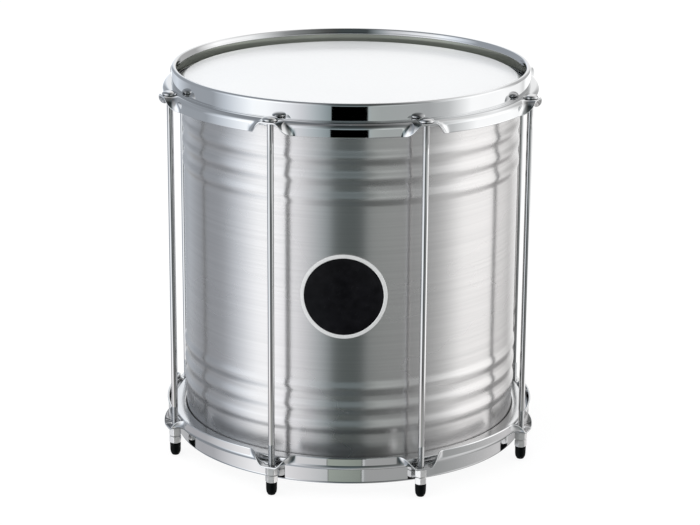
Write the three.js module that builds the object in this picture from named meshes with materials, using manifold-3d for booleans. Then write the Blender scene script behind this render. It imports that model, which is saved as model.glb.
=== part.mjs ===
// A two-headed tension drum on eight rods: millimetres, Z up, origin on the axis at the floor.
import * as THREE from 'three';
import Module from 'manifold-3d';
import { mergeVertices } from 'three/addons/utils/BufferGeometryUtils.js';

const wasm = await Module();
wasm.setup();

// Fits
const seat_gap = 0.3; // between two pieces that touch
const overrun = 2; // how far a cutter runs past what it cuts

// Shell
const shell_radius = 152.4;
const shell_length = 320;
const shell_wall = 1.5;
const edge_round = 1.6; // from the outer wall in to the crest that carries the film
const edge_rise = 2.4; // height of that round
const edge_flange = 5; // reach and drop of the edge that is turned in at 45 degrees
const bead_count = 3; // at each end
const bead_pitch = 18;
const bead_width = 12.4;
const bead_height = 1.6;
const bead_offset = 32; // from the end of the shell in to the first bead's place
const bead_profile_shares = [[0, 0], [0.3, 1], [0.7, 1], [1, 0]]; // of the bead's width and height

// Badge
const badge_radius = 38;
const badge_thickness = 0.8;
const badge_rim_width = 3.2;
const badge_rim_rise = 0.4;
const badge_turn = THREE.MathUtils.degToRad(-1.2); // from midway between the front rods
const badge_drop = 1; // below the shell's middle

// Heads
const film_thickness = 0.5;
const film_clearance = 0.5; // between the film and the shell's outer wall
const film_grip = 4.3; // how deep the film reaches into its flesh hoop
const film_slope = 1; // the film falls from the shell's edge to its flesh hoop at 45 degrees
const flesh_width = 11;
const flesh_height = 6.6;
const flesh_clearance = 2; // between the shell and the flesh hoop
const channel_clearance = 0.5; // between the film and each wall of the channel that grips it
const channel_floor = 1.7;

// Counter hoops, drawn from one strip of sheet
const hoop_sheet = 1.6;
const ear_margin = 4.2; // sheet left outside the rod's hole
const collar_inset = 3.2; // the collar stands this far inside the flesh hoop's outer edge
const lip_width = 5.6;
const lip_depth = 5.5;
const flange_drop = 15.7; // from the rim to the flange's near face
const apron_clearance = 3.5; // between the flesh hoop and the apron
const bend_radius = 5; // outer radius of the bend from flange to apron
const film_rise = 4.8; // from the flange's near face up to the film

// Tension rods
const rod_count = 8;
const rod_radius = 3.1;
const rod_standoff = 1.2; // from the apron's outer face out to the rod's axis
const ear_half_angle = THREE.MathUtils.degToRad(1.9); // where the strip stays flat
const scoop_half_angle = THREE.MathUtils.degToRad(7.5); // where the apron is fully turned
const neck_width = 6.2;
const neck_length = 3;
const dome_radius = 6.8;
const dome_height = 4.2;
const dome_edge = 1; // upright edge of the domed head

// Nuts and tips
const nut_across_flats = 9.8;
const nut_sides = 6;
const nut_turn_shares = [0.27, 0.08, 0, 0.4, 0.7, 0.2, 0.85, 0.5]; // of one side's angle, rod by rod
const tension_nut_height = 7.8;
const lock_nut_height = 6.5;
const tip_height = 11.7;
const tip_mouth_radius = 5;
const tip_waist_radius = 4.8;
const tip_waist_height = 4.4;
const tip_shoulder_radius = 4;
const tip_shoulder_height = 1.4;
const tip_foot_radius = 2.9;
const tip_floor = 3.6; // rubber under the end of the rod

// Roundness
const ring_sides = 48;
const rod_sides = 12;
const bend_steps = 2;
const lip_steps = 4;
const dome_steps = 3;
const scoop_steps = 3;
const span_steps = 2;

// Radii, from the shell out
const flesh_inner = shell_radius + flesh_clearance;
const flesh_outer = flesh_inner + flesh_width;
const collar_radius = flesh_outer - collar_inset;
const apron_radius = flesh_outer + apron_clearance + hoop_sheet;
const rod_circle = apron_radius + rod_standoff;

// Levels, from the floor up
const lock_nut_level = tip_height + seat_gap;
const tension_nut_level = lock_nut_level + lock_nut_height + seat_gap;
const bottom_ear_level = tension_nut_level + tension_nut_height + seat_gap;
const bottom_rim_level = bottom_ear_level - flange_drop;
const head_depth = flange_drop - film_rise; // from a rim to its film
const shell_depth = head_depth + film_thickness + seat_gap; // from a rim to the shell's end
const top_rim_level = bottom_rim_level + 2 * shell_depth + shell_length;
const top_ear_level = top_rim_level - flange_drop;
const shell_middle = (bottom_rim_level + top_rim_level) / 2;
const rod_pitch = 2 * Math.PI / rod_count;

const materials = {
  shell: { color: 0xb9bbbd, roughness: 0.34, metalness: 1 },
  badge: { color: 0x101012, roughness: 0.3, metalness: 0 },
  hoop: { color: 0xd9dbdd, roughness: 0.07, metalness: 1 },
  film: { color: 0xf1f3f6, roughness: 0.16, metalness: 0 },
  flesh: { color: 0xd2d3d4, roughness: 0.22, metalness: 1 },
  rod: { color: 0xc9cbcd, roughness: 0.14, metalness: 1 },
  nut: { color: 0xb4b3b0, roughness: 0.3, metalness: 1 },
  tip: { color: 0x08090a, roughness: 0.5, metalness: 0 },
};

const drum = new THREE.Group();

function addPiece(name, finish, geometry) {
  const mesh = new THREE.Mesh(geometry, new THREE.MeshStandardMaterial(materials[finish]));
  mesh.name = name;
  drum.add(mesh);
  return mesh;
}

// Six times the volume that a closed mesh holds; negative when its faces point inwards.
function signedVolume(positions, triangles) {
  const corner = (index) => new THREE.Vector3().fromArray(positions, 3 * triangles[index]);
  let total = 0;
  for (let i = 0; i < triangles.length; i += 3) {
    total += corner(i).dot(corner(i + 1).cross(corner(i + 2)));
  }
  return total;
}

function toSolid(geometry) {
  const bare = geometry.clone();
  bare.deleteAttribute('normal');
  bare.deleteAttribute('uv');
  const merged = mergeVertices(bare);
  const vertProperties = new Float32Array(merged.attributes.position.array);
  const triVerts = new Uint32Array(merged.index.array);
  if (signedVolume(vertProperties, triVerts) < 0) {
    for (let i = 0; i < triVerts.length; i += 3) {
      [triVerts[i + 1], triVerts[i + 2]] = [triVerts[i + 2], triVerts[i + 1]];
    }
  }
  return new wasm.Manifold(new wasm.Mesh({ numProp: 3, vertProperties, triVerts }));
}

function toGeometry(solid) {
  const mesh = solid.getMesh();
  const geometry = new THREE.BufferGeometry();
  geometry.setAttribute('position', new THREE.BufferAttribute(mesh.vertProperties, mesh.numProp));
  geometry.setIndex(new THREE.BufferAttribute(mesh.triVerts, 1));
  geometry.computeVertexNormals();
  return geometry;
}

// A body turned about Z from a profile of [radius, height] points.
function turned(profile, sides, closed = false) {
  const points = profile.map(([radius, height]) => new THREE.Vector2(radius, height));
  if (closed) points.push(points[0].clone());
  return toSolid(new THREE.LatheGeometry(points, sides).rotateX(Math.PI / 2));
}

// The mirror partner of a profile about the middle of the shell.
const mirrored = (profile) => profile.map(([radius, height]) => [radius, 2 * shell_middle - height]);

// A straight bar along Z whose cross-section is a Shape.
function bar(shape, from, to, curveSegments = rod_sides) {
  const settings = { depth: to - from, bevelEnabled: false, curveSegments };
  return toSolid(new THREE.ExtrudeGeometry(shape, settings).translate(0, 0, from));
}

function polygon(corners, radius, phase = 0) {
  const points = Array.from({ length: corners }, (_, i) => {
    const angle = phase + 2 * Math.PI * i / corners;
    return new THREE.Vector2(radius * Math.cos(angle), radius * Math.sin(angle));
  });
  return new THREE.Shape(points);
}

// Rod 1 is the front left one, and the rest follow anticlockwise seen from above.
function rodPlace(index) {
  const angle = (index - 0.5) * rod_pitch - Math.PI / 2 - rod_pitch;
  return { angle, x: rod_circle * Math.cos(angle), y: rod_circle * Math.sin(angle) };
}

function atRod(solid, index) {
  const place = rodPlace(index);
  const geometry = toGeometry(solid);
  return geometry.rotateZ(place.angle).translate(place.x, place.y, 0);
}

// Shell: half of the outer profile, from the middle up to the turned-in edge
function buildShell() {
  const end = shell_middle + shell_length / 2;
  const half = [];
  for (let bead = bead_count - 1; bead >= 0; bead--) {
    const start = end - bead_offset - bead * bead_pitch - bead_width;
    for (const [along, out] of bead_profile_shares) {
      half.push([shell_radius + bead_height * out, start + bead_width * along]);
    }
  }
  const crest_radius = shell_radius - edge_round;
  const fold = shell_wall * Math.SQRT1_2;
  const flange_tip = [crest_radius - edge_flange, end - edge_flange];
  const flange_back = [flange_tip[0] + fold, flange_tip[1] - fold];
  const inner_radius = shell_radius - shell_wall;
  const inner_corner = [inner_radius, flange_back[1] + inner_radius - flange_back[0]];
  half.push([shell_radius, end - edge_rise], [crest_radius, end], flange_tip, flange_back, inner_corner);
  const profile = [...mirrored(half).reverse(), ...half];
  addPiece('shell', 'shell', toGeometry(turned(profile, ring_sides, true)));
}

// Badge: a disc bent to the shell, with a raised rim
function buildBadge() {
  const seat = shell_radius + seat_gap;
  const face = seat + badge_thickness;
  const middle = shell_middle - badge_drop;
  const half = badge_radius + overrun;
  const layer = (inner, outer) => turned([
    [inner, middle - half], [outer, middle - half], [outer, middle + half], [inner, middle + half],
  ], ring_sides, true);
  const cutter = (radius) => {
    const round = new THREE.CylinderGeometry(radius, radius, shell_radius, ring_sides);
    return toSolid(round.translate(0, -shell_radius, 0).rotateZ(badge_turn).translate(0, 0, middle));
  };
  const disc = layer(seat, face).intersect(cutter(badge_radius));
  const rim = layer(seat, face + badge_rim_rise).intersect(cutter(badge_radius));
  const rim_only = rim.subtract(cutter(badge_radius - badge_rim_width));
  addPiece('badge', 'badge', toGeometry(disc.add(rim_only)));
}

// Film: flat over the shell's edge, then down at a slope into its flesh hoop
const flesh_level = top_rim_level - flange_drop - hoop_sheet - seat_gap;
const film_level = top_rim_level - head_depth;
const film_turn = shell_radius + film_clearance;
const film_turn_level = film_level - film_thickness - edge_rise * film_slope;
const skirt_radius = film_turn + (film_turn_level - flesh_level) / film_slope;

function filmProfile() {
  const crest = shell_radius - edge_round;
  const foot = flesh_level - film_grip;
  return [
    [0, film_level], [crest + film_thickness, film_level],
    [film_turn + film_thickness, film_turn_level + film_thickness],
    [skirt_radius + film_thickness, flesh_level + film_thickness], [skirt_radius + film_thickness, foot],
    [skirt_radius, foot], [skirt_radius, flesh_level], [film_turn, film_turn_level],
    [crest, film_level - film_thickness], [0, film_level - film_thickness],
  ];
}

function fleshProfile() {
  const foot = flesh_level - flesh_height;
  const floor = foot + channel_floor;
  const near = skirt_radius - channel_clearance;
  const far = skirt_radius + film_thickness + channel_clearance;
  return [
    [flesh_inner, foot], [flesh_outer, foot], [flesh_outer, flesh_level], [far, flesh_level], [far, floor],
    [near, floor], [near, flesh_level], [flesh_inner, flesh_level],
  ];
}

function buildHeads() {
  const ring = (profile) => toGeometry(turned(profile, ring_sides, true));
  addPiece('top_head_film', 'film', toGeometry(turned(filmProfile(), ring_sides)));
  addPiece('bottom_head_film', 'film', toGeometry(turned(mirrored(filmProfile()), ring_sides)));
  addPiece('top_flesh_hoop', 'flesh', ring(fleshProfile()));
  addPiece('bottom_flesh_hoop', 'flesh', ring(mirrored(fleshProfile())));
}

// Counter hoop: the strip beyond the flange has one developed length all round. It is turned
// down by a right angle as the apron, stays flat at each ear, and turns smoothly in between.
const bend_start = apron_radius - bend_radius;
const bend_middle = bend_radius - hoop_sheet / 2;
const ear_radius = rod_circle + neck_width / 2 + seat_gap + ear_margin;
const strip_length = ear_radius - bend_start;

// One cross-section as [radius, depth below the rim], for a strip that is turned down by fold.
function hoopSection(fold) {
  const collar_inner = collar_radius - hoop_sheet;
  const lip_radius = lip_width / 2;
  const lip_centre = collar_radius - lip_radius;
  const bend = (radius) => Array.from({ length: bend_steps + 1 }, (_, i) => {
    const angle = fold * i / bend_steps;
    return [bend_start + radius * Math.sin(angle), flange_drop + bend_radius - radius * Math.cos(angle)];
  });
  const reach = strip_length - bend_middle * fold;
  const tip = ([radius, depth]) => [radius + reach * Math.cos(fold), depth + reach * Math.sin(fold)];
  const near = bend(bend_radius);
  const far = bend(bend_radius - hoop_sheet);
  const lip = Array.from({ length: lip_steps + 1 }, (_, i) => {
    const angle = Math.PI * i / lip_steps;
    return [lip_centre + lip_radius * Math.cos(angle), lip_radius - lip_radius * Math.sin(angle)];
  });
  return [
    ...lip, [collar_radius - lip_width, lip_depth], [collar_inner, lip_depth],
    [collar_inner, flange_drop + hoop_sheet],
    ...far, tip(far[bend_steps]), tip(near[bend_steps]), ...near.reverse(),
    [collar_radius, flange_drop],
  ];
}

// Angles of the cross-sections, from the middle of one ear to the middle of the next.
function hoopStations() {
  const half = [0, ear_half_angle];
  for (let i = 1; i <= scoop_steps; i++) {
    half.push(ear_half_angle + (scoop_half_angle - ear_half_angle) * i / scoop_steps);
  }
  for (let i = 1; i <= span_steps; i++) {
    half.push(scoop_half_angle + (rod_pitch / 2 - scoop_half_angle) * i / span_steps);
  }
  const back = half.slice(1, -1).reverse().map((angle) => rod_pitch - angle);
  return [...half, ...back];
}

function foldAt(angle) {
  const from_ear = Math.min(angle, rod_pitch - angle);
  return Math.PI / 2 * THREE.MathUtils.smoothstep(from_ear, ear_half_angle, scoop_half_angle);
}

function hoopBody(heightOf) {
  const positions = [];
  const triangles = [];
  let rows = 0;
  let row_length = 0;
  for (let ear = 1; ear <= rod_count; ear++) {
    for (const station of hoopStations()) {
      const section = hoopSection(foldAt(station));
      const angle = rodPlace(ear).angle + station;
      for (const [radius, depth] of section) {
        positions.push(radius * Math.cos(angle), radius * Math.sin(angle), heightOf(depth));
      }
      rows += 1;
      row_length = section.length;
    }
  }
  for (let row = 0; row < rows; row++) {
    const next_row = (row + 1) % rows;
    for (let i = 0; i < row_length; i++) {
      const j = (i + 1) % row_length;
      const [a, b] = [row * row_length + i, row * row_length + j];
      const [c, d] = [next_row * row_length + i, next_row * row_length + j];
      triangles.push(a, c, b, b, c, d);
    }
  }
  const geometry = new THREE.BufferGeometry();
  geometry.setAttribute('position', new THREE.Float32BufferAttribute(positions, 3));
  geometry.setIndex(triangles);
  return toSolid(geometry);
}

function buildHoops() {
  const neck_hole = polygon(4, (neck_width / 2 + seat_gap) * Math.SQRT2, Math.PI / 4);
  const round_hole = polygon(rod_sides, rod_radius + seat_gap);
  let top = hoopBody((depth) => top_rim_level - depth);
  let bottom = hoopBody((depth) => bottom_rim_level + depth);
  const square_cut = bar(neck_hole, top_ear_level - hoop_sheet - overrun, top_ear_level + overrun);
  const round_cut = bar(round_hole, bottom_ear_level - overrun, bottom_ear_level + hoop_sheet + overrun);
  for (let i = 1; i <= rod_count; i++) {
    top = top.subtract(toSolid(atRod(square_cut, i)));
    bottom = bottom.subtract(toSolid(atRod(round_cut, i)));
  }
  addPiece('top_hoop', 'hoop', toGeometry(top));
  addPiece('bottom_hoop', 'hoop', toGeometry(bottom));
}

// Tension rod: a domed head on the ear, a square neck in the ear's hole and a long round shank
function buildRods() {
  const seat = top_ear_level + seat_gap;
  const foot = tip_floor + seat_gap;
  const dome_rise = dome_height - dome_edge;
  const dome = [];
  for (let i = 0; i <= dome_steps; i++) {
    const angle = Math.PI / 2 * i / dome_steps;
    dome.push([dome_radius * Math.cos(angle), seat + dome_edge + dome_rise * Math.sin(angle)]);
  }
  dome[dome_steps][0] = 0;
  const profile = [[0, foot], [rod_radius, foot], [rod_radius, seat], [dome_radius, seat], ...dome];
  const neck = polygon(4, neck_width / 2 * Math.SQRT2, Math.PI / 4);
  const rod = turned(profile, rod_sides).add(bar(neck, seat - neck_length, seat + dome_edge));
  for (let i = 1; i <= rod_count; i++) {
    addPiece(`tension_rod_${i}`, 'rod', atRod(rod, i));
  }
}

function nut(level, height, turn_share) {
  const half_side_angle = Math.PI / nut_sides;
  const corner_radius = nut_across_flats / 2 / Math.cos(half_side_angle);
  const outline = polygon(nut_sides, corner_radius, half_side_angle * (1 + 2 * turn_share));
  outline.holes.push(polygon(rod_sides, rod_radius + seat_gap));
  return bar(outline, level, level + height);
}

function buildNuts() {
  for (let i = 1; i <= rod_count; i++) {
    const turn_share = nut_turn_shares[(i - 1) % nut_turn_shares.length];
    const tension_nut = nut(tension_nut_level, tension_nut_height, turn_share);
    const lock_nut = nut(lock_nut_level, lock_nut_height, turn_share);
    addPiece(`tension_nut_${i}`, 'nut', atRod(tension_nut, i));
    addPiece(`lock_nut_${i}`, 'nut', atRod(lock_nut, i));
  }
}

// Rubber tip: a round-nosed cap with a flat foot, pushed over the end of the rod
function buildTips() {
  const bore = rod_radius + seat_gap;
  const tip = turned([
    [0, 0], [tip_foot_radius, 0], [tip_shoulder_radius, tip_shoulder_height],
    [tip_waist_radius, tip_waist_height], [tip_mouth_radius, tip_height],
    [bore, tip_height], [bore, tip_floor], [0, tip_floor],
  ], rod_sides);
  for (let i = 1; i <= rod_count; i++) {
    addPiece(`rubber_tip_${i}`, 'tip', atRod(tip, i));
  }
}

buildShell();
buildBadge();
buildHeads();
buildHoops();
buildRods();
buildNuts();
buildTips();

export default drum;
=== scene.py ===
import math
import bmesh
import bpy
import numpy as np
from mathutils import Matrix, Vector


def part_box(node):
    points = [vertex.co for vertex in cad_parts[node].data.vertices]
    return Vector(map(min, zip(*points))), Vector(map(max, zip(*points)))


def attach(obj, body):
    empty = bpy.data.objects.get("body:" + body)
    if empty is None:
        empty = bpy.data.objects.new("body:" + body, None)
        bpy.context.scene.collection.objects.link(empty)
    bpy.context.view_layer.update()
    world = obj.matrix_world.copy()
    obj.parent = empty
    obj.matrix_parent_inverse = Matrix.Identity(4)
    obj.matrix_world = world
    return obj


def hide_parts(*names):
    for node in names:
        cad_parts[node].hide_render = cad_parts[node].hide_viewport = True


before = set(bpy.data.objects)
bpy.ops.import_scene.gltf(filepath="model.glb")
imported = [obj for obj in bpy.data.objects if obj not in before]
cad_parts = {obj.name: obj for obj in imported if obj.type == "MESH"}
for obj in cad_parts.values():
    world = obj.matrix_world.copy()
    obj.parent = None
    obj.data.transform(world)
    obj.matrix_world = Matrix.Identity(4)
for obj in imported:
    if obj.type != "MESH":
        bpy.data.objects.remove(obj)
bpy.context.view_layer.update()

MM = 0.001
TURN = 2 * math.pi
RODS = range(1, 9)


# Places read from the frame
def low(node):
    return np.array(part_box(node)[0]) / MM


def high(node):
    return np.array(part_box(node)[1]) / MM


def axis_of(node):
    """The upright axis of a turned node, as the middle of its box seen from above."""
    middle = (low(node) + high(node)) / 2
    return middle[0], middle[1]


shell_foot, shell_head = low("shell")[2], high("shell")[2]
shell_middle = (shell_foot + shell_head) / 2
top_rim, bottom_rim = high("top_hoop")[2], low("bottom_hoop")[2]
rod_x, rod_y = axis_of("tension_rod_1")


# Surfaces
def quads_of(rows, columns, ring):
    """Quads of a grid whose columns close round: each joins a point to its neighbours in the next
    column and the next row, and in a ring the last row joins the first."""
    row, column = np.meshgrid(np.arange(rows if ring else rows - 1), np.arange(columns), indexing="ij")
    row, column = row.ravel(), column.ravel()
    next_row, next_column = (row + 1) % rows, (column + 1) % columns
    return np.stack([row * columns + column, row * columns + next_column,
                     next_row * columns + next_column, next_row * columns + column], axis=1)


def volume(points, quads):
    """Signed volume: a sixth of the triple product of the corners, summed over both triangles of
    each quad; negative when the faces look inwards."""
    a, b, c, d = (points[quads[:, i]] for i in range(4))
    first = np.einsum("ij,ij->i", a, np.cross(b, c)).sum()
    second = np.einsum("ij,ij->i", a, np.cross(c, d)).sum()
    return (first + second) / 6


def closed_mesh(name, grid, ring=True, crease=32):
    """A closed mesh from a grid of points [row, column, xyz]: quads turned to face outwards, poles
    merged, smooth but for edges that bend more than the crease angle in degrees."""
    points = grid.reshape(-1, 3)
    quads = quads_of(grid.shape[0], grid.shape[1], ring)
    if volume(points, quads) < 0:
        quads = quads[:, ::-1]
    mesh = bpy.data.meshes.new(name)
    mesh.from_pydata((points * MM).tolist(), [], quads.tolist())
    work = bmesh.new()
    work.from_mesh(mesh)
    bmesh.ops.remove_doubles(work, verts=work.verts, dist=1e-7)
    work.to_mesh(mesh)
    work.free()
    soften(mesh, crease)
    return mesh


def soften(mesh, crease):
    mesh.polygons.foreach_set("use_smooth", np.ones(len(mesh.polygons), dtype=bool))
    mesh.set_sharp_from_angle(angle=math.radians(crease))


def rounded(corners, steps=5):
    """An outline of straight sides whose corners (x, y, radius) are replaced by arcs tangent to both
    sides: the centre lies on the corner's bisector, radius / sin(half angle) from the corner."""
    spots = np.array([c[:2] for c in corners], dtype=float)
    outline = []
    for i, (x, y, radius) in enumerate(corners):
        corner = spots[i]
        if radius == 0:
            outline.append(corner[None])
            continue
        back = spots[i - 1] - corner
        ahead = spots[(i + 1) % len(corners)] - corner
        back, ahead = back / np.linalg.norm(back), ahead / np.linalg.norm(ahead)
        half = math.acos(np.clip(back @ ahead, -1, 1)) / 2
        bisector = (back + ahead) / np.linalg.norm(back + ahead)
        centre = corner + bisector * radius / math.sin(half)
        start = corner + back * radius / math.tan(half) - centre
        finish = corner + ahead * radius / math.tan(half) - centre
        sweep = math.pi - 2 * half
        share = np.linspace(0, 1, steps + 1)[:, None]
        outline.append(centre + (np.sin((1 - share) * sweep) * start
                                 + np.sin(share * sweep) * finish) / math.sin(sweep))
    return np.concatenate(outline)


def lathe(profile, sides, centre=(0, 0), phase=0):
    """A profile of [radius, height] points turned about an upright axis through the centre."""
    angle = phase + TURN * np.arange(sides) / sides
    radius, height = profile[:, 0, None], profile[:, 1, None]
    return np.stack([centre[0] + radius * np.cos(angle), centre[1] + radius * np.sin(angle),
                     np.broadcast_to(height, (len(profile), sides))], axis=2)


def flipped(profile):
    """The profile's mirror image about the middle of the shell."""
    return profile * [1, -1] + [0, 2 * shell_middle]


def smoothstep(value, start, end):
    """0 up to the start and 1 from the end on, with a share between: 3 s squared less 2 s cubed."""
    share = np.clip((value - start) / (end - start), 0, 1)
    return share * share * (3 - 2 * share)


def face_centres(mesh):
    """The middle of each face, in millimetres."""
    centres = np.empty(len(mesh.polygons) * 3)
    mesh.polygons.foreach_get("center", centres)
    return centres.reshape(-1, 3) / MM


def place(name, mesh, finish, body, slot, *nodes):
    """Puts a finished mesh in the scene on its body, standing for the nodes that it replaces."""
    piece = bpy.data.objects.new(name, mesh)
    bpy.context.scene.collection.objects.link(piece)
    for coat in finish if isinstance(finish, tuple) else (finish,):
        mesh.materials.append(coat)
    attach(piece, body)
    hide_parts(*nodes)
    return piece


# Finishes
class Finish:
    """A material in the making: one principled shader, and the nodes that vary it over the piece."""

    def __init__(self, name, **fixed):
        self.material = bpy.data.materials.new(name)
        self.material.use_nodes = True
        self.tree = self.material.node_tree
        self.shader = self.tree.nodes["Principled BSDF"]
        self.where = self.tree.nodes.new("ShaderNodeTexCoord").outputs["Object"]
        for socket, value in fixed.items():
            self.shader.inputs[socket.replace("_", " ")].default_value = value

    def node(self, kind, **settings):
        made = self.tree.nodes.new(kind)
        for key, value in settings.items():
            setattr(made, key, value)
        return made

    def grain(self, scale, detail=3.0, roughness=0.5):
        """Noise whose scale per metre may differ along x, y and z, which draws it out into streaks."""
        mapping = self.node("ShaderNodeMapping")
        mapping.inputs["Scale"].default_value = scale
        noise = self.node("ShaderNodeTexNoise")
        noise.inputs["Scale"].default_value = 1
        noise.inputs["Detail"].default_value = detail
        noise.inputs["Roughness"].default_value = roughness
        self.tree.links.new(self.where, mapping.inputs["Vector"])
        self.tree.links.new(mapping.outputs["Vector"], noise.inputs["Vector"])
        return noise.outputs["Fac"]

    def spread(self, value, low_end, high_end, start=0.3, end=0.7):
        """Maps a value between start and end on to the range from low_end to high_end."""
        ranged = self.node("ShaderNodeMapRange")
        limits = {"From Min": start, "From Max": end, "To Min": low_end, "To Max": high_end}
        for socket, number in limits.items():
            ranged.inputs[socket].default_value = number
        self.tree.links.new(value, ranged.inputs["Value"])
        return ranged.outputs["Result"]

    def blend(self, share, dark, light):
        """A colour between two, by a share from 0 to 1."""
        mixed = self.node("ShaderNodeMix", data_type="RGBA")
        mixed.inputs["A"].default_value = (*dark, 1)
        mixed.inputs["B"].default_value = (*light, 1)
        self.tree.links.new(share, mixed.inputs["Factor"])
        return mixed.outputs["Result"]

    def feed(self, socket, value):
        self.tree.links.new(value, self.shader.inputs[socket])

    def colour(self, pattern, dark, light):
        """Base colour that goes from dark to light over a pattern."""
        self.feed("Base Color", self.blend(self.spread(pattern, 0, 1), dark, light))

    def dullness(self, pattern, smooth, dull):
        """Roughness that goes from smooth to dull over a pattern."""
        self.feed("Roughness", self.spread(pattern, smooth, dull))

    def relief(self, value, depth, strength=1.0):
        """Bump from a value, whose full swing is the depth in metres."""
        bump = self.node("ShaderNodeBump")
        bump.inputs["Strength"].default_value = strength
        bump.inputs["Distance"].default_value = depth
        self.tree.links.new(value, bump.inputs["Height"])
        self.feed("Normal", bump.outputs["Normal"])


def brushed_shell():
    """Aluminium brushed round the shell: fine streaks run round it, so that reflections are drawn
    out up and down and stay fairly crisp from side to side. Seen at a flat angle it is a little
    darker, as bare aluminium is."""
    made = Finish("brushed_shell", Metallic=1.0, Specular_Tint=(0.7, 0.7, 0.7, 1), Anisotropic=0.77,
                  Anisotropic_Rotation=0.25)
    streaks = made.grain((6, 6, 480), 2, 0.5)
    clouds = made.grain((9, 9, 14), 3)
    made.colour(streaks, (0.59, 0.58, 0.576), (0.641, 0.63, 0.625))
    made.dullness(clouds, 0.265, 0.285)
    tangent = made.node("ShaderNodeTangent", direction_type="RADIAL", axis="Z")
    made.feed("Tangent", tangent.outputs["Tangent"])
    return made.material


def chrome(name, dark, light):
    """Chrome plate with faint smears that dull it a little."""
    made = Finish(name, Metallic=1.0)
    made.colour(made.grain((14, 14, 20)), dark, light)
    made.dullness(made.grain((30, 30, 60), 5), 0.025, 0.06)
    made.relief(made.grain((90, 90, 90), 2), 1e-6)
    return made.material


def zinc_rod():
    """Bright plated steel, drawn lengthwise, so its fine scratches run along the rod."""
    made = Finish("plated_rod", Metallic=1.0)
    made.colour(made.grain((2400, 2400, 25), 3), (0.55, 0.55, 0.553), (0.6, 0.6, 0.603))
    made.dullness(made.grain((60, 60, 40)), 0.02, 0.045)
    return made.material


def nickel_nut():
    """Satin nickel plate with small cloudy spots."""
    made = Finish("nickel_nut", Metallic=0.8)
    made.colour(made.grain((400, 400, 400)), (0.72, 0.715, 0.705), (0.77, 0.765, 0.76))
    made.dullness(made.grain((400, 400, 400)), 0.28, 0.33)
    made.relief(made.grain((500, 500, 500), 2), 2e-6, 0.3)
    return made.material


def bright_ring():
    """Smooth bright aluminium of the flesh hoops, with light lines round it from its drawing."""
    made = Finish("bright_ring", Metallic=1.0)
    made.colour(made.grain((6, 6, 900)), (0.66, 0.665, 0.67), (0.73, 0.735, 0.74))
    made.dullness(made.grain((20, 20, 400)), 0.12, 0.2)
    return made.material


def white_head():
    """White coated film: a barely uneven white and a fine dry grain under a soft gloss."""
    made = Finish("white_film")
    made.colour(made.grain((8, 8, 8), 4), (0.875, 0.888, 0.902), (0.9, 0.913, 0.927))
    made.dullness(made.grain((300, 300, 300), 4), 0.14, 0.2)
    made.relief(made.grain((1500, 1500, 1500), 3), 1e-6, 0.5)
    return made.material


def black_rubber():
    """Black rubber, semi-matt, with a fine grain and a trace of dust."""
    made = Finish("black_rubber", Specular_IOR_Level=0.06)
    made.colour(made.grain((500, 500, 500), 4), (0.001, 0.002, 0.002), (0.003, 0.004, 0.004))
    made.dullness(made.grain((300, 300, 300)), 0.36, 0.5)
    made.relief(made.grain((2500, 2500, 2500), 3), 2e-5, 0.3)
    return made.material


def black_enamel():
    """Glossy black enamel of the badge's field, with faint clouds."""
    made = Finish("black_enamel", Specular_IOR_Level=0.08, Coat_Weight=0.05, Coat_Roughness=0.05)
    made.colour(made.grain((120, 120, 120), 4), (0.004, 0.004, 0.005), (0.009, 0.009, 0.011))
    made.dullness(made.grain((200, 200, 200)), 0.18, 0.28)
    return made.material


def silver_edge():
    """Silvery white enamel of the badge's rim."""
    made = Finish("silver_edge", Metallic=0.2, Coat_Weight=0.3)
    made.colour(made.grain((300, 300, 300)), (0.84, 0.85, 0.85), (0.9, 0.905, 0.905))
    made.dullness(made.grain((500, 500, 500)), 0.35, 0.45)
    return made.material


chrome_plate = chrome("chrome_plate", (0.645, 0.65, 0.655), (0.675, 0.68, 0.685))
# painted shade: a dark olive copy of the chrome for the collar's inner wall under the lip
painted_shade_plate = chrome("painted_shade_plate", (0.27, 0.285, 0.25), (0.33, 0.345, 0.305))
# painted light: a lighter copy of the chrome for the lower apron's inner face, so the shell mirrors it
# brighter
painted_light_plate = chrome("painted_light_plate", (0.88, 0.885, 0.89), (0.92, 0.925, 0.93))
plated_rod, nickel_plate = zinc_rod(), nickel_nut()
white_film, ring_metal, rubber = white_head(), bright_ring(), black_rubber()


# Shell
shell_radius = 152.4
shell_wall = 1.5
bead_width = 15
bead_height = 1.15
bead_crests = (86, 104, 121.9)  # up and down from the shell's middle
bead_rows = 17
wall_rows = 40
edge_crest = shell_radius - 1.6  # the highest ring of the bearing edge, on which the film lies
edge_flange = 5
edge_drop = 0.15  # of the rounded corner's meeting point under the shell's end
edge_bend, flange_bend, inner_bend = 1.7, 0.6, 2.0
edge_margin = 2.6  # of the outer wall's last row under the shell's end
inner_margin = 2.5  # of the inner wall's last row under the flange's foot
round_sides = 256


def bead_swell(height):
    """How far the wall swells out at a height: a raised cosine over each bead's width, nothing
    between the beads."""
    crests = np.array([side * crest for side in (-1, 1) for crest in bead_crests])
    offset = np.abs(height[:, None] - shell_middle - crests)
    inside = offset < bead_width / 2
    return (bead_height * np.cos(np.pi * offset / bead_width) ** 2 * inside).sum(axis=1)


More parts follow.
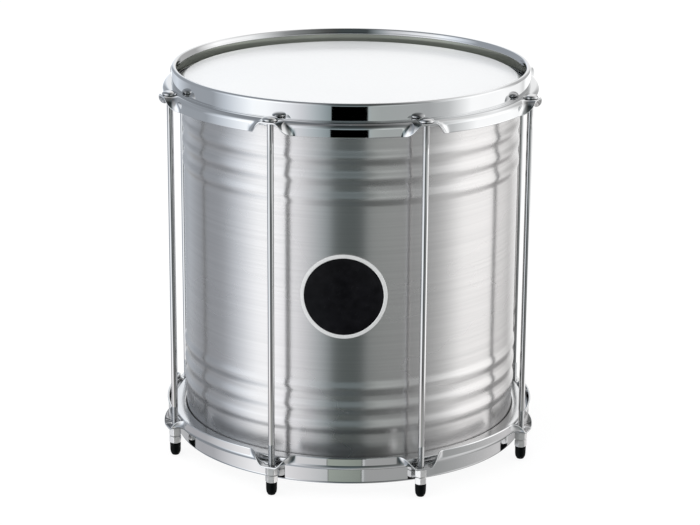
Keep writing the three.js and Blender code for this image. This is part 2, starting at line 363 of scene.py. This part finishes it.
def build_shell():
    """Outer wall with beads, rounded over at each end into a flange turned in at 45 degrees, and an
    inner wall that runs parallel to the outer one."""
    half_length = (shell_head - shell_foot) / 2
    wall_top = half_length - edge_margin
    heights = np.unique(np.concatenate(
        [np.linspace(-wall_top, wall_top, wall_rows)]
        + [side * crest + np.linspace(-bead_width / 2, bead_width / 2, bead_rows)
           for side in (-1, 1) for crest in bead_crests])) + shell_middle
    swell = bead_swell(heights)
    outer = np.stack([shell_radius + swell, heights], axis=1)
    fold = shell_wall * math.sqrt(0.5)
    tip = (edge_crest - edge_flange, shell_head - edge_flange)
    inner_radius = shell_radius - shell_wall
    tip_back = (tip[0] + fold, tip[1] - fold)
    inner_corner = (inner_radius, tip_back[1] + inner_radius - tip_back[0])
    edge = rounded([
        (shell_radius, shell_head - edge_flange, 0), (shell_radius, shell_head - edge_drop, edge_bend),
        (*tip, flange_bend), (*tip_back, flange_bend), (*inner_corner, inner_bend),
        (inner_radius, inner_corner[1] - edge_flange, 0)], 6)[1:-1]
    inner = np.stack([inner_radius + swell, heights], axis=1)
    inside = np.abs(inner[:, 1] - shell_middle) < inner_corner[1] - inner_margin - shell_middle
    profile = np.concatenate([outer, edge, inner[inside][::-1], flipped(edge)[::-1]])
    mesh = closed_mesh("beaded_shell", lathe(profile, round_sides))
    place("beaded_shell", mesh, brushed_shell(), "shell", "shell", "shell")


# Badge
badge_radius = 38
badge_seat = shell_radius + 0.3
badge_sides = 160
field_radius, field_height = 34.6, 0.8
rim_inside, rim_height = 35.1, 1.2
silver_start = 34.7


def build_badge():
    """A disc bent to the shell. Over it, distance out from its centre and angle round it are the two
    parameters; the face's height is a profile of the distance, with a rounded rim."""
    face = rounded([(0, field_height, 0), (field_radius, field_height, 0.25), (rim_inside, rim_height, 0.3),
                    (badge_radius, rim_height, 0.45), (badge_radius, 0, 0.1), (0, 0, 0)], 4)
    reach, lift = face[:, 0, None], face[:, 1, None]
    angle = TURN * np.arange(badge_sides) / badge_sides
    middle = (low("badge") + high("badge")) / 2
    across = reach * np.cos(angle)
    radius = badge_seat + lift + 0 * angle
    turn = math.atan2(middle[0], -middle[1]) + np.arcsin(across / radius)
    upright = middle[2] + reach * np.sin(angle)
    grid = np.stack([radius * np.sin(turn), -radius * np.cos(turn), upright], axis=2)
    mesh = closed_mesh("round_badge", grid, ring=False, crease=40)
    centres = face_centres(mesh)
    along = centres[:, 0] - middle[0]
    out = np.hypot(along, centres[:, 2] - middle[2])
    silver = out > silver_start
    mesh.polygons.foreach_set("material_index", silver.astype(np.int32))
    place("round_badge", mesh, (black_enamel(), silver_edge()), "shell", "badge", "badge")


# Heads
film = 0.5
film_reach = 0.5  # of the film's turn past the shell's outside
film_fall = 2.4  # of the turn under the film's lower face
film_rows = 14
film_margin = 6  # flat film inside the shell's crest that has no rows
flesh_inner, flesh_outer = 152.9, 165.4
flesh_height = 5.0
channel_floor = 0.6
channel_play = 0.5


def build_heads():
    """Film: flat to the shell's edge, down at 45 degrees past it and straight into the flesh hoop.
    Flesh hoop: a ring with rounded edges and a channel in its near face that grips the film."""
    film_top = high("top_head_film")[2]
    flesh_top = high("top_flesh_hoop")[2]
    grip = low("top_head_film")[2]
    turn_radius = shell_radius + film_reach
    turn_level = film_top - film - film_fall
    skirt = turn_radius + turn_level - flesh_top
    head = rounded([
        (0, film_top, 0), (edge_crest + film, film_top, 3.0), (turn_radius + film, turn_level + film, 2.5),
        (skirt + film, flesh_top + film, 1.2), (skirt + film, grip, 0.2), (skirt, grip, 0.2),
        (skirt, flesh_top, 1.0), (turn_radius, turn_level, 2.2), (edge_crest, film_top - film, 2.6),
        (0, film_top - film, 0)], 6)
    flat = np.linspace(0, 1, film_rows)[1:-1, None] * [edge_crest - film_margin, 0]
    head = np.concatenate([head[:1], flat + [0, film_top], head[1:-1],
                           flat[::-1] + [0, film_top - film], head[-1:]])
    foot = flesh_top - flesh_height
    floor = foot + channel_floor
    near, far = skirt - channel_play, skirt + film + channel_play
    ring = rounded([
        (flesh_inner, foot, 1.2), (flesh_outer, foot, 1.6), (flesh_outer, flesh_top, 1.6),
        (far, flesh_top, 0.35), (far, floor, 0.2), (near, floor, 0.2), (near, flesh_top, 0.3),
        (flesh_inner, flesh_top, 0.6)], 5)
    for end, turned in (("top", lambda p: p), ("bottom", flipped)):
        mesh = closed_mesh(f"{end}_head", lathe(turned(head), round_sides), ring=False)
        place(f"{end}_head", mesh, white_film, "shell", "film", f"{end}_head_film")
        mesh = closed_mesh(f"{end}_flesh_ring", lathe(turned(ring), round_sides))
        body = "frame" if end == "top" else "tension_hoop"
        place(f"{end}_flesh_ring", mesh, ring_metal, body, "flesh", f"{end}_flesh_hoop")


# Counter hoops
sheet = 1.6
collar = 162.2
lip_width, lip_depth = 5.6, 5.5
flange_drop = 15.7
bend_start = 165.5
bend_radius = 5.0
bend_middle = bend_radius - sheet / 2
strip_length, strip_rows = 13.8, 26
cut_radius = 0.5
apron_inner = bend_start + bend_radius - sheet
ear_flat, ear_end = math.radians(1.9), math.radians(7.6)
ear_margin = 1.06  # how far the close stations go past the ear's end, as a share
ear_stations, apron_stations = 41, 38
ear_hole = 3.4
post_reach = 6
post_sides = 32


def strip_outline():
    """Outline of the strip beyond the flange while it is still flat: [distance along it, distance
    from its middle], out along the inner face, round the cut edge and back along the outer one."""
    half = sheet / 2
    along = np.linspace(0, strip_length - cut_radius, strip_rows)
    arc = np.linspace(0, math.pi / 2, 5)[1:]
    first = np.stack([strip_length - cut_radius + cut_radius * np.sin(arc),
                      -half + cut_radius - cut_radius * np.cos(arc)], axis=1)
    second = first[::-1] * [1, -1]
    return np.concatenate([np.stack([along, np.full(strip_rows, -half)], axis=1), first, second,
                           np.stack([along[::-1], np.full(strip_rows, half)], axis=1)])


def hoop_grid(rim, sense):
    """Cross-sections all round a hoop, as [station, point, xyz]. The lip, collar and flange are the
    same everywhere; the strip beyond them wraps a bend of constant radius until it has turned by
    the fold angle, and runs straight from there. The fold is none at each ear and a right angle
    between the ears, with a smooth step from one to the other."""
    pitch = TURN / len(RODS)
    close_end = ear_end * ear_margin
    near_ear = np.linspace(-close_end, close_end, ear_stations)
    along_apron = np.linspace(close_end, pitch - close_end, apron_stations)[1:-1]
    local = np.concatenate([near_ear, along_apron])
    first_ear = math.atan2(rod_y, rod_x)
    angle = (first_ear + pitch * np.arange(len(RODS))[:, None] + local).ravel()
    from_ear = np.tile(np.minimum(np.abs(local), pitch - local), len(RODS))
    fold = math.pi / 2 * smoothstep(from_ear, ear_flat, ear_end)[:, None]
    along, off = strip_outline().T
    turn = np.minimum(along / bend_middle, fold)
    straight = np.maximum(along - bend_middle * fold, 0)
    radius = bend_start + (bend_middle + off) * np.sin(turn) + straight * np.cos(turn)
    depth = flange_drop + bend_radius - (bend_middle + off) * np.cos(turn) + straight * np.sin(turn)
    head = rounded([
        (collar, flange_drop, 0.4), (collar, flange_drop - 0.6, 0), (collar, 2.6, 0), (collar, 0.001, 2.4),
        (collar - 3.75, 0.001, 2.0), (collar - 5.05, 3.3, 2.0), (collar - lip_width - 0.6, lip_depth, 0.6),
        (collar - sheet, lip_depth, 0.5), (collar - sheet, lip_depth + 0.8, 0),
        (collar - sheet, flange_drop - 0.6, 0), (collar - sheet, flange_drop + sheet, 2.0),
        (bend_start - 0.3, flange_drop + sheet, 0)], 9)
    fixed = np.broadcast_to(head[:-1], (len(angle), len(head) - 1, 2))
    radius = np.concatenate([fixed[:, :, 0], radius], axis=1)
    depth = np.concatenate([fixed[:, :, 1], depth], axis=1)
    cos, sin = np.cos(angle)[:, None], np.sin(angle)[:, None]
    return np.stack([radius * cos, radius * sin, rim + sense * depth], axis=2)


def bored(mesh, cutters):
    """The mesh with the cutters' volume taken away."""
    body = bpy.data.objects.new("body_to_bore", mesh)
    tool = bpy.data.objects.new("boring_tool", cutters)
    for thing in (body, tool):
        bpy.context.scene.collection.objects.link(thing)
    cut = body.modifiers.new("bore", "BOOLEAN")
    cut.operation, cut.object, cut.solver = "DIFFERENCE", tool, "EXACT"
    bpy.context.view_layer.update()
    result = bpy.data.meshes.new_from_object(body.evaluated_get(bpy.context.evaluated_depsgraph_get()))
    for thing in (body, tool):
        bpy.data.objects.remove(thing)
    return result


def superellipse(half, power, angle):
    """The radius at an angle of a section between a circle, at power 2, and a square, at a high
    power: half its width times (|cos|^p + |sin|^p)^(-1/p)."""
    return half * (np.abs(np.cos(angle)) ** power + np.abs(np.sin(angle)) ** power) ** (-1 / power)


def post_grid(half, power, centre, turn, floor, ceiling):
    """An upright post with a superellipse for its section."""
    angle = TURN * np.arange(post_sides) / post_sides
    radius = superellipse(half, power, angle)
    rows = np.array([[0, floor], [1, floor], [1, ceiling], [0, ceiling]])
    spread = rows[:, 0, None] * radius
    return np.stack([centre[0] + spread * np.cos(angle + turn), centre[1] + spread * np.sin(angle + turn),
                     np.broadcast_to(rows[:, 1, None], spread.shape)], axis=2)


def ear_cutters(name, power, level):
    """One mesh of eight posts, one through each ear."""
    work = bmesh.new()
    for i in RODS:
        centre = axis_of(f"tension_rod_{i}")
        turn = math.atan2(centre[1], centre[0])
        grid = post_grid(ear_hole, power, centre, turn, level - post_reach, level + post_reach)
        post = closed_mesh("post", grid, ring=False)
        work.from_mesh(post)
        bpy.data.meshes.remove(post)
    cutters = bpy.data.meshes.new(name)
    work.to_mesh(cutters)
    work.free()
    return cutters


def mark_plate(mesh):
    """Marks the faces of the collar's inner wall, which take a dark olive chrome as painted shade for the
    recess under the lip, and those of the lower apron's inner face, which take a lighter chrome as painted
    light for the shell to mirror."""
    centres = face_centres(mesh)
    radius = np.hypot(centres[:, 0], centres[:, 1])
    rim = np.minimum(np.abs(centres[:, 2] - top_rim), np.abs(centres[:, 2] - bottom_rim))
    # painted shade: the collar's inner wall under the lip
    inside = (radius < collar - sheet + 0.25) & (rim > lip_depth - 0.3)
    # painted light: the lower apron's inner face
    apron = (radius > apron_inner - 1) & (radius < apron_inner + 0.1) & (rim > flange_drop + bend_radius)
    lower = centres[:, 2] < shell_middle
    mesh.polygons.foreach_set("material_index", (inside + 2 * (apron & lower)).astype(np.int32))


def build_hoops():
    """Both hoops, one the mirror of the other; the upper ears have square holes, the lower round."""
    for name, rim, sense, power, body in (("top", top_rim, -1, 12, "frame"),
                                          ("bottom", bottom_rim, 1, 2, "tension_hoop")):
        mesh = closed_mesh(f"{name}_counter_hoop", hoop_grid(rim, sense))
        mesh = bored(mesh, ear_cutters(f"{name}_holes", power, rim + sense * flange_drop))
        soften(mesh, 32)
        mesh.materials.clear()
        mark_plate(mesh)
        # plain chrome, then painted shade for the collar's inner wall, then painted light for the lower
        # apron's inner face
        coats = (chrome_plate, painted_shade_plate, painted_light_plate)
        place(f"{name}_counter_hoop", mesh, coats, body, "hoop", f"{name}_hoop")


# Rods, nuts and feet
rod_radius = 2.85
thread_root = 2.35
thread_top = 46
thread_pitch = 1.0
dome_radius, dome_edge, dome_rise = 6.8, 1.1, 2.5
head_height = 4.2  # from the ear to the top of the dome and its margin
neck_height = 3.0
neck_power = 8
rod_sides = 32
nut_flats = 9.8
nut_sides = 96
nut_play = 0.3
nut_sink = 0.5
nut_corner, nut_face = 1.135, 0.95  # reach of the trimmed corners and of the flat face, in half flats
nut_slope = math.radians(30)
foot_radius, foot_bore_floor = 5.0, 3.6
foot_sides = 40


def build_rods():
    """Each rod is one surface of height and angle. Its radius is the plain profile's; over the
    thread a triangle wave of height less angle cuts in to the root, and in the neck the round
    section passes into a square with rounded corners."""
    foot, top = low("tension_rod_1")[2], high("tension_rod_1")[2]
    seat = top - head_height
    neck = seat - neck_height
    angle = TURN * np.arange(rod_sides) / rod_sides
    turns = np.arange(foot + 0.8, thread_top + 1.5, thread_pitch / 8)
    shank = np.linspace(thread_top + 2, neck - 0.6, 12)
    arc = np.linspace(0, math.pi / 2, 10)
    rim = rounded([(0, seat, 0), (dome_radius, seat, 0.35), (dome_radius, seat + dome_edge, 0)], 4)[1:-1]
    crown = np.stack([dome_radius * np.cos(arc), seat + 0.8 + dome_rise * np.sin(arc)], axis=1)
    dome = np.concatenate([rim, crown])
    dome[-1, 0] = 0
    stem = np.concatenate([[foot, foot], turns, shank, [neck, neck + 0.3, seat - 0.01]])
    plain = np.full(len(stem), rod_radius)
    plain[0], plain[1] = 0, thread_root
    wave = np.abs(((stem[:, None] / thread_pitch - angle / TURN) % 1) * 2 - 1)
    depth = (rod_radius - thread_root) * smoothstep(wave, 0.06, 0.94)
    fade = smoothstep(stem, foot + 0.4, foot + 1.4) * (1 - smoothstep(stem, thread_top, thread_top + 1))
    radius = plain[:, None] - depth * fade[:, None]
    radius = np.where(stem[:, None] > neck - 0.1, superellipse(rod_radius, neck_power, angle), radius)
    radius = np.concatenate([radius, np.repeat(dome[:, :1], rod_sides, axis=1)])
    height = np.repeat(np.concatenate([stem, dome[:, 1]])[:, None], rod_sides, axis=1)
    for i in RODS:
        x, y = axis_of(f"tension_rod_{i}")
        turn = angle + math.atan2(y, x)
        grid = np.stack([x + radius * np.cos(turn), y + radius * np.sin(turn), height], axis=2)
        mesh = closed_mesh(f"rod_{i}", grid, ring=False, crease=38)
        place(f"rod_{i}", mesh, plated_rod, "frame", "rod", f"tension_rod_{i}")


def corner_angle(node, centre):
    """The direction of a nut's farthest corner from its axis."""
    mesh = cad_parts[node].data
    spots = np.empty(len(mesh.vertices) * 3)
    mesh.vertices.foreach_get("co", spots)
    spots = spots.reshape(-1, 3)[:, :2] / MM - centre
    return math.atan2(*spots[np.argmax((spots ** 2).sum(axis=1))][::-1])


def nut_grid(node):
    """A hexagon nut: its section's radius is half the width across flats over the cosine of the
    angle from the nearest flat, held in at the corners. Both faces slope away outside a circle just
    inside the flats, and a plain bore with broken edges runs through."""
    centre = np.array(axis_of(node))
    floor, ceiling = low(node)[2], high(node)[2]
    angle = TURN * np.arange(nut_sides) / nut_sides
    half = nut_flats / 2
    hexagon = np.minimum(half / np.cos(angle % (TURN / 6) - TURN / 12), half * nut_corner)
    face_radius = half * nut_face
    fall = (hexagon - face_radius) * math.tan(nut_slope)
    bore = rod_radius + nut_play
    flat_row = lambda r, z: (np.full(nut_sides, r), np.full(nut_sides, z))
    rows = [flat_row(bore, floor + nut_sink), flat_row(bore + nut_sink, floor), flat_row(face_radius, floor),
            (hexagon - 0.12, floor + fall - 0.02), (hexagon, floor + fall + 0.1),
            (hexagon, ceiling - fall - 0.1), (hexagon - 0.12, ceiling - fall + 0.02),
            flat_row(face_radius, ceiling), flat_row(bore + nut_sink, ceiling),
            flat_row(bore, ceiling - nut_sink)]
    radius = np.array([r for r, _ in rows])
    height = np.array([h for _, h in rows])
    turn = angle + corner_angle(node, centre)
    return np.stack([centre[0] + radius * np.cos(turn), centre[1] + radius * np.sin(turn), height], axis=2)


def build_nuts():
    for i in RODS:
        for node, name in ((f"tension_nut_{i}", f"nut_{i}"), (f"lock_nut_{i}", f"jam_nut_{i}")):
            mesh = closed_mesh(name, nut_grid(node), crease=18)
            place(name, mesh, nickel_plate, node, "nut", node)


def build_feet():
    """Rubber tip: a blunt bullet turned from a rounded profile, with a bore for the rod's end."""
    height = high("rubber_tip_1")[2]
    bore = rod_radius + nut_play
    profile = rounded([
        (0, 0, 0), (3.1, 0, 1.0), (4.5, 2.6, 1.8), (4.85, 5, 3), (foot_radius, height, 0.5),
        (bore, height, 0.4), (bore, foot_bore_floor, 0.3), (0, foot_bore_floor, 0)], 5)
    for i in RODS:
        grid = lathe(profile, foot_sides, axis_of(f"rubber_tip_{i}"))
        mesh = closed_mesh(f"foot_{i}", grid, ring=False)
        place(f"foot_{i}", mesh, rubber, "frame", "tip", f"rubber_tip_{i}")


build_shell()
build_badge()
build_heads()
build_hoops()
build_rods()
build_nuts()
build_feet()


# Studio
room_radius = 20.0  # metres, as all lengths from here on
room_level = 1.34
floor_side = 8.0  # from the middle
camera_place = (0.0291, -2.0818, 0.8034)
camera_turn, camera_fall, camera_roll = math.radians(0.80), math.radians(17.02), math.radians(0.3718)
softbox_place = (-0.6, -0.8, 2.8)
softbox_tilt = math.radians(16)
# The room as the metal sees it: for each elevation in degrees, the light in each direction, by
# degrees from the front. A dark gap in front with a black card in it, soft white cards on either
# hand, grey walls, a white backdrop behind, a dark ceiling and a pale floor.
backdrop, white_card, grey_wall = 1.1, 1.07, 0.36
card_left, card_right = -11, 11.2  # edges of the black card
crisp = 0.4
beside_camera = [
    (-180, backdrop), (-168, backdrop), (-164, 0.5), (-145, 0.68), (-121, grey_wall), (-96, grey_wall),
    (-64, white_card), (-54, white_card), (-38, 0.87), (card_left - crisp, 0.28), (card_left, 0),
    (card_right, 0), (card_right + crisp, 0.42), (20, 0.39), (50, 0.4), (64, 0.56), (82, white_card),
    (114, white_card), (135, 0.92), (143, 0.7), (149, 1), (160, backdrop), (180, backdrop)]
# The narrow band that only the shell mirrors: dimmer to the right of the front, brighter on the cards.
beside_shell = [
    (-180, backdrop), (-168, backdrop), (-164, 0.5), (-145, 0.68), (-121, grey_wall), (-96, grey_wall),
    (-80, 0.68), (-64, 1.32), (-54, 1.32), (-38, 0.87), (card_left - crisp, 0.28), (card_left, 0),
    (card_right, 0), (card_right + crisp, 0.42), (18, 0.2), (50, 0.2), (62, 0.26), (69, 0.46), (84, 1.4),
    (112, 1.4), (124, 0.98), (135, 0.92), (143, 0.7), (149, 1), (160, backdrop), (180, backdrop)]
# The band that the lower hoop mirrors, with an olive table top in front.
below_camera = [
    (-180, backdrop), (-168, backdrop), (-162, 0.5), (-149, 0.46), (-112, 0.4), (-100, 0.43), (-63, 0.93),
    (-56, 0.93), (-13, 0.52), (-12.4, 0.12), (-12, 0.34), (8.6, 0.26), (9, 0.1), (9.6, 0.6), (10.2, 0.6),
    (10.8, 0.35), (43, 0.35), (60, 0.31), (74, 0.37), (117, 0.58), (147, 0.35), (160, 0.4),
    (164, backdrop), (180, backdrop)]


def studio_ring(behind, left_wall, left_card, left_edge, front,
                near_right, right_edge, right_card, right_wall):
    """The light at one elevation: from the backdrop behind, past the wall and the card on the left,
    across the dark front, and past the card and the wall on the right to the backdrop again."""
    return [
        (-180, behind), (-168, behind), (-158, left_wall), (-98, left_wall), (-68, left_card),
        (-44, left_card), (-30, left_edge), (card_left, front), (card_right, front), (20, near_right),
        (50, right_edge), (78, right_card), (108, right_card), (130, right_wall), (156, right_wall),
        (168, behind), (180, behind)]


above_camera = studio_ring(0.8, 0.34, 1.2, 0.83, 0.3, 0.62, 0.45, 1.2, 0.42)
room = {
    -70: studio_ring(0.55, 0.4, 0.38, 0.28, 0.2, 0.22, 0.28, 0.34, 0.42),
    -40: studio_ring(0.8, 0.24, 1.1, 0.5, 0.06, 0.08, 0.16, 0.62, 0.25),
    -25: studio_ring(1.05, 0.28, 1.2, 0.65, 0.08, 0.1, 0.22, 0.72, 0.3),
    -22.8: below_camera,
    -20.8: below_camera,
    -20: beside_shell,
    -15.6: beside_shell,
    -15: beside_camera,
    -7: beside_camera,
    -4: above_camera,
    7: above_camera,
    11: studio_ring(0.8, 0.33, 1.18, 0.7, 0.12, 0.3, 0.28, 1.2, 0.41),
    21: studio_ring(0.8, 0.33, 1.18, 0.75, 0.12, 0.25, 0.28, 1.1, 0.48),
    28: studio_ring(1.08, 0.35, 1.03, 0.7, 0.08, 0.12, 0.3, 0.95, 0.52),
    40: studio_ring(1, 0.3, 0.4, 0.5, 0.05, 0.06, 0.24, 0.85, 1),
    61: studio_ring(0.45, 0.25, 0.3, 0.22, 0.02, 0.03, 0.17, 0.5, 0.5),
    80: [(-180, 0.12), (180, 0.12)],
}
# A slight colour cast by direction and elevation: bluish on the left, greenish in front, and olive
# and pinkish below.
plain = (1, 1, 1)
bluish = (0.92, 0.99, 1.085)
greenish = (0.84, 1.02, 1.07)
olive = (1.01, 1.08, 0.91)
pinkish = (1.015, 0.99, 0.995)
shell_tints = [
    (-180, plain), (-160, bluish), (-85, bluish), (-60, (0.98, 1, 1.02)), (-30, (0.975, 0.99, 1.035)),
    (-8, greenish), (8, greenish), (14, (0.95, 1.02, 1)), (50, (0.975, 1, 1.01)), (86, plain), (180, plain)]
lower_hoop_tints = [
    (-180, plain), (-150, plain), (-110, (1, 0.985, 1.03)), (-75, pinkish), (-13, pinkish), (-12, olive),
    (8.6, olive), (9.6, pinkish), (60, (0.99, 1.01, 1)), (110, pinkish), (180, plain)]
tints = {-27: shell_tints, -20.5: lower_hoop_tints, -18: shell_tints}


def between(bands, elevation, direction):
    """The value of each band at the directions, changed evenly between the bands' elevations."""
    given = np.array([np.interp(direction, *np.array(band, dtype=float).T) for band in bands.values()])
    heights = np.array(list(bands))
    above = np.clip(np.searchsorted(heights, elevation), 1, len(heights) - 1)
    share = (elevation - heights[above - 1]) / (heights[above] - heights[above - 1])
    share = np.clip(share, 0, 1)[:, None]
    return given[above - 1] * (1 - share) + given[above] * share


def build_room():
    """A wide ball round the drum that only reflections see. The light of each point is a function of
    its direction: between the directions given for each elevation, and between the elevations,
    it changes evenly."""
    compass = np.linspace(-180, 180, 721)[:-1]
    rise = np.linspace(-89.5, 89.5, 359)
    level = room_level * between(room, rise, compass)
    channels = []
    for i in range(3):
        bands = {lift: [(way, colour[i]) for way, colour in band] for lift, band in tints.items()}
        channels.append(between(bands, rise, compass))
    tint = np.stack(channels, axis=2)
    light_colour = np.ones((*level.shape, 4), dtype=np.float32)
    light_colour[..., :3] = level[..., None] * tint
    turn, lift = np.radians(compass), np.radians(rise)[:, None]
    shape = (len(rise), len(compass))
    grid = room_radius * np.stack([np.cos(lift) * np.sin(turn), -np.cos(lift) * np.cos(turn),
                                   np.broadcast_to(np.sin(lift), shape)], axis=2)
    grid[..., 2] += shell_middle * MM
    mesh = bpy.data.meshes.new("room")
    mesh.from_pydata(grid.reshape(-1, 3).tolist(), [], quads_of(*shape, False).tolist())
    light = mesh.attributes.new("light", "FLOAT_COLOR", "POINT")
    light.data.foreach_set("color", light_colour.ravel())
    walls = bpy.data.materials.new("room_walls")
    walls.use_nodes = True
    walls.cycles.emission_sampling = "NONE"
    tree = walls.node_tree
    tree.nodes.clear()
    reading = tree.nodes.new("ShaderNodeAttribute")
    reading.attribute_name = "light"
    glow = tree.nodes.new("ShaderNodeEmission")
    out = tree.nodes.new("ShaderNodeOutputMaterial")
    tree.links.new(reading.outputs["Color"], glow.inputs["Color"])
    tree.links.new(glow.outputs["Emission"], out.inputs["Surface"])
    mesh.materials.append(walls)
    ball = bpy.data.objects.new("room", mesh)
    bpy.context.scene.collection.objects.link(ball)
    ball.visible_camera = False
    ball.visible_diffuse = False
    ball.visible_transmission = False
    ball.visible_shadow = False


def seen_directly(tree):
    """1 for rays from the camera and for those that metal or glass has sent on, else 0."""
    path = tree.nodes.new("ShaderNodeLightPath")
    total = path.outputs["Is Camera Ray"]
    for other in ("Is Glossy Ray", "Is Transmission Ray"):
        adding = tree.nodes.new("ShaderNodeMath")
        adding.operation = "ADD"
        adding.use_clamp = True
        tree.links.new(total, adding.inputs[0])
        tree.links.new(path.outputs[other], adding.inputs[1])
        total = adding.outputs[0]
    return total


def build_world():
    """White where it is seen, and a plain soft level where it only lights the drum."""
    world = bpy.data.worlds.new("studio")
    bpy.context.scene.world = world
    world.use_nodes = True
    world.cycles.sampling_method = "NONE"
    tree = world.node_tree
    background = tree.nodes["Background"]
    background.inputs["Color"].default_value = (1, 1, 1, 1)
    level = tree.nodes.new("ShaderNodeMapRange")
    level.inputs["To Min"].default_value = 0.8
    level.inputs["To Max"].default_value = 1.0
    tree.links.new(seen_directly(tree), level.inputs["Value"])
    tree.links.new(level.outputs["Result"], background.inputs["Strength"])


def build_floor():
    """A pale floor that the camera sees as white, less a part of the shadow that falls on it."""
    mesh = bpy.data.meshes.new("floor")
    corners = [(x * floor_side, y * floor_side, 0) for x, y in ((-1, -1), (1, -1), (1, 1), (-1, 1))]
    mesh.from_pydata(corners, [], [(0, 1, 2, 3)])
    paint = bpy.data.materials.new("floor_paint")
    paint.use_nodes = True
    tree = paint.node_tree
    shader = tree.nodes["Principled BSDF"]
    shader.inputs["Base Color"].default_value = (0.2, 0.2, 0.2, 1)
    shader.inputs["Roughness"].default_value = 1
    shader.inputs["Specular IOR Level"].default_value = 0
    shader.inputs["Emission Color"].default_value = (1, 1, 1, 1)
    shine = tree.nodes.new("ShaderNodeMapRange")
    shine.inputs["To Min"].default_value = 0.5
    shine.inputs["To Max"].default_value = 0.86
    tree.links.new(seen_directly(tree), shine.inputs["Value"])
    tree.links.new(shine.outputs["Result"], shader.inputs["Emission Strength"])
    mesh.materials.append(paint)
    floor = bpy.data.objects.new("floor", mesh)
    bpy.context.scene.collection.objects.link(floor)
    floor.visible_glossy = False


def build_lamp():
    """One large softbox overhead, a little to the front left."""
    lamp = bpy.data.lights.new("softbox", "AREA")
    lamp.shape, lamp.size, lamp.energy = "DISK", 2.4, 18
    holder = bpy.data.objects.new("softbox", lamp)
    holder.matrix_world = (
        Matrix.Translation(softbox_place)
        @ Matrix.Rotation(-softbox_tilt, 4, "Y")
        @ Matrix.Rotation(softbox_tilt, 4, "X"))
    holder.visible_glossy = False
    bpy.context.scene.collection.objects.link(holder)


def build_camera():
    """The photograph's own angle: a little above the drum and looking down on it."""
    camera = bpy.data.cameras.new("camera")
    camera.lens, camera.sensor_width = 120.8, 36
    holder = bpy.data.objects.new("camera", camera)
    holder.matrix_world = (
        Matrix.Translation(camera_place)
        @ Matrix.Rotation(camera_turn, 4, "Z")
        @ Matrix.Rotation(math.pi / 2 - camera_fall, 4, "X")
        @ Matrix.Rotation(camera_roll, 4, "Z"))
    bpy.context.scene.collection.objects.link(holder)
    bpy.context.scene.camera = holder


build_room()
build_world()
build_floor()
build_lamp()
build_camera()
bpy.context.scene.view_settings.view_transform = "Standard"
